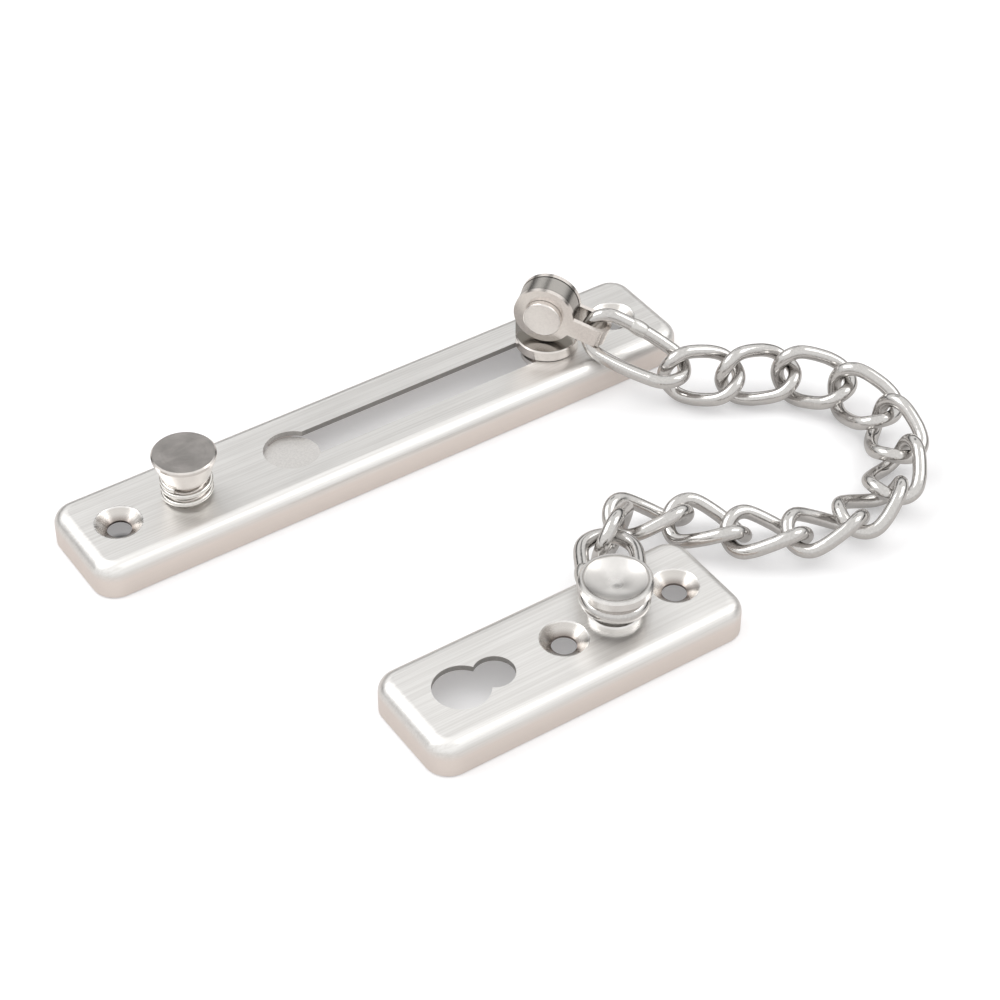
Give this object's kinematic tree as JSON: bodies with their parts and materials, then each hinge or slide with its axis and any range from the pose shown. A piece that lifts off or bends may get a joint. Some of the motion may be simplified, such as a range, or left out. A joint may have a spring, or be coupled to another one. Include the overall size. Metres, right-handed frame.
{
  "type": "door chain guard",
  "caption": "Door chain guard: slotted track plate with press knob and sliding post, twisted-link chain and a keeper plate with a headed stud.",
  "frame": {"origin": "centre of the track plate's mounting face, on the door surface", "axes": "+X along the track from the knob end towards the plain screw end, +Y across the track away from the keeper plate, +Z out of the door"},
  "size_m": [0.1644, 0.1006, 0.0236],
  "materials": {
    "plate_steel": "satin",
    "chain_steel": "polished",
    "bright_metal": "polished",
    "spring_wire": "satin",
    "inner_steel": "satin"
  },
  "bodies": {
    "track": {"track_plate": "plate_steel", "knob_spring": "spring_wire"},
    "knob": {"knob": "bright_metal", "tongue": "inner_steel"},
    "slide_washer": {"retaining_washer": "inner_steel"},
    "slider_post": {"slider_post": "bright_metal", "pivot_pin": "bright_metal"},
    "strap": {"strap": "bright_metal"},
    "link_01": {"link_01": "chain_steel"},
    "link_02": {"link_02": "chain_steel"},
    "link_03": {"link_03": "chain_steel"},
    "link_04": {"link_04": "chain_steel"},
    "link_05": {"link_05": "chain_steel"},
    "link_06": {"link_06": "chain_steel"},
    "link_07": {"link_07": "chain_steel"},
    "link_08": {"link_08": "chain_steel"},
    "link_09": {"link_09": "chain_steel"},
    "link_10": {"link_10": "chain_steel"},
    "link_11": {"link_11": "chain_steel"},
    "link_12": {"link_12": "chain_steel"},
    "link_13": {"link_13": "chain_steel"},
    "link_14": {"link_14": "chain_steel"},
    "keeper": {"keeper_plate": "plate_steel", "keeper_stud": "bright_metal"}
  },
  "joints": [
    {"name": "knob_press", "type": "slide", "parent": "track", "child": "knob", "axis": [0, 0, -1], "range_m": [0, 0.002], "deforming": ["knob_spring"]},
    {"name": "slider_travel", "type": "slide", "parent": "track", "child": "slide_washer", "axis": [1, 0, 0], "range_m": [-0.051, 0.004]},
    {"name": "slider_swivel", "type": "hinge", "parent": "slide_washer", "child": "slider_post", "pos_m": [0.0427, 0, 0], "axis": [0, 0, 1], "range_deg": [-15, 6]},
    {"name": "strap_lift", "type": "hinge", "parent": "slider_post", "child": "strap", "pos_m": [0.0427, 0, 0.0168], "axis": [-0.766, -0.6428, 0], "range_deg": [0, 40]},
    {"name": "link_01_swing", "type": "hinge", "parent": "strap", "child": "link_01", "pos_m": [0.04854, -0.00689, 0.01381], "axis": [0.1986, -0.2367, 0.9511], "range_deg": [-3, 3]},
    {"name": "link_02_swing", "type": "hinge", "parent": "link_01", "child": "link_02", "pos_m": [0.05898, -0.02342, 0.00704], "axis": [0, 0, 1], "range_deg": [-2, 6]},
    {"name": "link_03_swing", "type": "hinge", "parent": "link_02", "child": "link_03", "pos_m": [0.06902, -0.02996, 0.0055], "axis": [0, 0, 1], "range_deg": [-5, 12]},
    {"name": "link_04_swing", "type": "hinge", "parent": "link_03", "child": "link_04", "pos_m": [0.07997, -0.03511, 0.0055], "axis": [0, 0, 1], "range_deg": [0, 29]},
    {"name": "link_05_swing", "type": "hinge", "parent": "link_04", "child": "link_05", "pos_m": [0.08705, -0.04492, 0.0055], "axis": [0, 0, 1], "range_deg": [0, 29]},
    {"name": "link_06_swing", "type": "hinge", "parent": "link_05", "child": "link_06", "pos_m": [0.08848, -0.05694, 0.0055], "axis": [0, 0, 1], "range_deg": [0, 29]},
    {"name": "link_07_swing", "type": "hinge", "parent": "link_06", "child": "link_07", "pos_m": [0.08391, -0.06814, 0.0055], "axis": [0, 0, 1], "range_deg": [0, 28]},
    {"name": "link_08_swing", "type": "hinge", "parent": "link_07", "child": "link_08", "pos_m": [0.07461, -0.07589, 0.0055], "axis": [0, 0, 1], "range_deg": [0, 28]},
    {"name": "link_09_swing", "type": "hinge", "parent": "link_08", "child": "link_09", "pos_m": [0.06277, -0.07836, 0.0055], "axis": [0, 0, 1], "range_deg": [0, 27]},
    {"name": "link_10_swing", "type": "hinge", "parent": "link_09", "child": "link_10", "pos_m": [0.05109, -0.07519, 0.0055], "axis": [0, 0, 1], "range_deg": [0, 24]},
    {"name": "link_11_swing", "type": "hinge", "parent": "link_10", "child": "link_11", "pos_m": [0.04171, -0.06754, 0.0055], "axis": [0, 0, 1], "range_deg": [0, 15]},
    {"name": "link_12_swing", "type": "hinge", "parent": "link_11", "child": "link_12", "pos_m": [0.03463, -0.05773, 0.005], "axis": [0, 0, 1], "range_deg": [-12, 0]},
    {"name": "link_13_swing", "type": "hinge", "parent": "link_12", "child": "link_13", "pos_m": [0.02173, -0.05504, 0.00484], "axis": [0.5319, -0.8217, -0.2046], "range_deg": [-6, 6]},
    {"name": "link_14_swing", "type": "hinge", "parent": "link_13", "child": "link_14", "pos_m": [0.0135, -0.06172, 0.01121], "axis": [-0.5002, -0.1099, -0.8589], "range_deg": [-6, 6]},
    {"name": "keeper_turn", "type": "hinge", "parent": "link_14", "child": "keeper", "pos_m": [0.00625, -0.0756, 0], "axis": [0, 0, 1], "range_deg": [-15, 4]}
  ]
}
